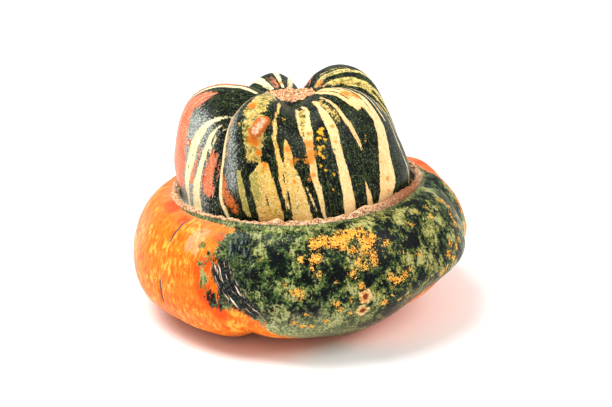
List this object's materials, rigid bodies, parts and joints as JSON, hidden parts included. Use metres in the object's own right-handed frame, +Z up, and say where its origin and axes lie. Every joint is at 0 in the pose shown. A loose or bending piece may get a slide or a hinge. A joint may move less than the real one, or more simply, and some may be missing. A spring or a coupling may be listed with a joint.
{
  "type": "turban squash",
  "caption": "Small turban squash with a wide ribbed brim, a corky ring and a striped cap of bulging lobes, standing on its stem end.",
  "frame": {"origin": "bottom centre of the bounding box, on the resting plane", "axes": "+Z up through the top scar, +X to the right and -Y to the front as seen in the picture"},
  "size_m": [0.1306, 0.1302, 0.0899],
  "materials": {
    "rind": "waxy squash rind, dark green, cream and orange, with corky marks"
  },
  "bodies": {
    "root": {"fruit": "rind"}
  },
  "joints": []
}
